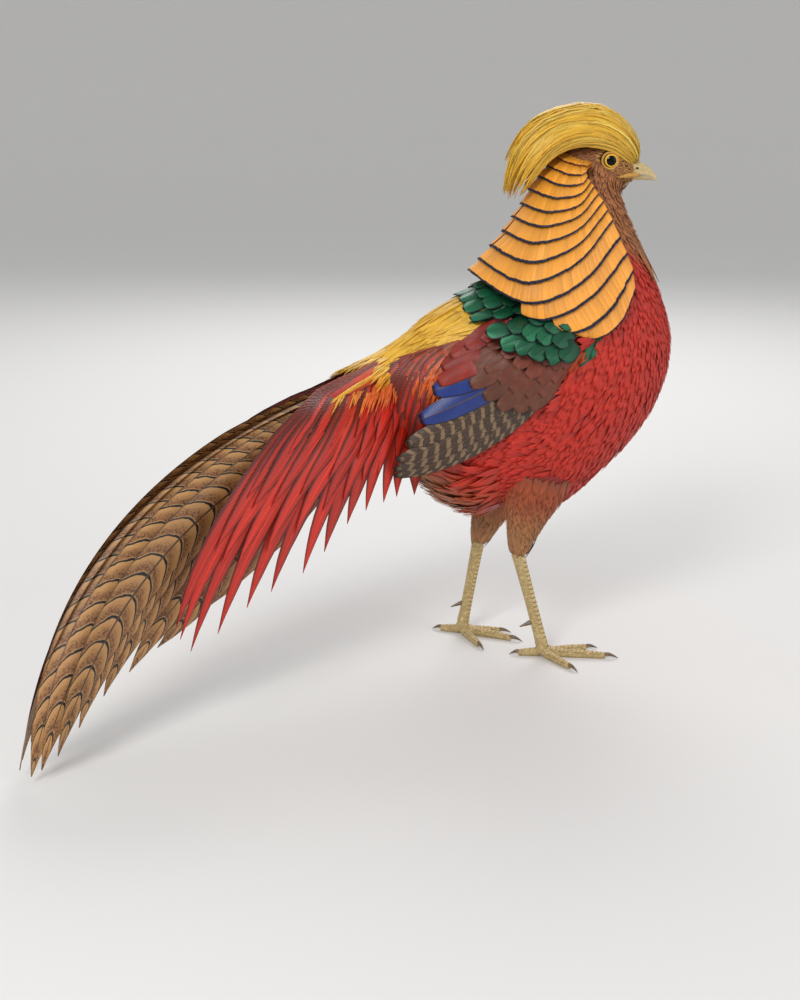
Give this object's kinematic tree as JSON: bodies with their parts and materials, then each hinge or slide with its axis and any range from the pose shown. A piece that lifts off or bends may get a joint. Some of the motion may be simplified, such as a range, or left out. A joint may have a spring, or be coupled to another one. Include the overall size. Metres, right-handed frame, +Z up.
{
  "type": "golden pheasant model",
  "caption": "Life-size standing golden pheasant cock with raised crest, banded cape, folded wings and a long drooping tail.",
  "frame": {"origin": "on the floor under the soles, at the middle of the whole bird's box seen from above", "axes": "+X ahead, the way the breast faces; +Y the bird's left; +Z up"},
  "size_m": [0.551, 0.319, 0.4753],
  "materials": {
    "crest": "silky golden yellow plumes",
    "face": "short rusty tan feathers",
    "cape": "orange feathers edged blue black",
    "body": "scarlet body feathers",
    "wing": "dark brown and blue flight feathers",
    "tail": "spotted and barred brown tail feathers",
    "coverts": "long scarlet tail coverts",
    "thighs": "soft chestnut feathers",
    "horn": "satin horn",
    "legs": "scaled skin",
    "eyes": "wet gloss"
  },
  "bodies": {
    "root": {"head": "face", "bill_upper": "horn", "bill_lower": "horn", "eye_right": "eyes", "eye_left": "eyes", "crest": "crest", "neck": "face", "cape": "cape", "torso": "body", "tail": "tail", "wing_right": "wing", "wing_left": "wing", "coverts_right": "coverts", "coverts_left": "coverts", "vent_tuft": "thighs", "thigh_right": "thighs", "thigh_left": "thighs", "shank_right": "legs", "shank_left": "legs", "foot_right": "legs", "foot_left": "legs", "spur_right": "horn", "spur_left": "horn", "claw_right_inner": "horn", "claw_right_middle": "horn", "claw_right_outer": "horn", "claw_right_hind": "horn", "claw_left_inner": "horn", "claw_left_middle": "horn", "claw_left_outer": "horn", "claw_left_hind": "horn"}
  },
  "joints": []
}
